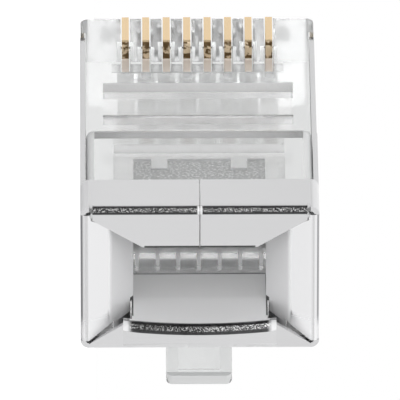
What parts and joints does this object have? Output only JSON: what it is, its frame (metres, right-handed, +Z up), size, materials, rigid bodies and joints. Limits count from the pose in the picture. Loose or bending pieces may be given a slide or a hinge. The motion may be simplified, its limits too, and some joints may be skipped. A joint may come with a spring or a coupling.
{
  "type": "shielded modular plug",
  "caption": "Shielded modular plug for network cable: clear body in a folded metal shield, gold blade contacts, funnel cable entry and a sprung latch lever. Not crimped.",
  "frame": {"origin": "middle of the plug's footprint, on the table that it lies on", "axes": "+Y forwards to the nose, -X to the contact side, +Z up, across the contacts. The plug lies on its left side, as an unfitted plug comes to rest; seen with the contacts up, its right side is +Z"},
  "size_m": [0.0132, 0.021, 0.0117],
  "materials": {
    "clear_polycarbonate": "clear, polished mould",
    "nickel_plated_sheet": "nickel plated, satin",
    "gold_plated_contact": "gold plated, bright"
  },
  "bodies": {
    "plug": {"body": "clear_polycarbonate", "shield": "nickel_plated_sheet", "contact_1": "gold_plated_contact", "contact_2": "gold_plated_contact", "contact_3": "gold_plated_contact", "contact_4": "gold_plated_contact", "contact_5": "gold_plated_contact", "contact_6": "gold_plated_contact", "contact_7": "gold_plated_contact", "contact_8": "gold_plated_contact"},
    "latch": {"latch": "clear_polycarbonate"}
  },
  "joints": [
    {"name": "latch_flex", "type": "hinge", "parent": "plug", "child": "latch", "pos_m": [0.00152, 0.00953, 0.00583], "axis": [0, 0, -1], "range_deg": [0, 14], "stiffness_Nm_per_rad": 0.18}
  ]
}
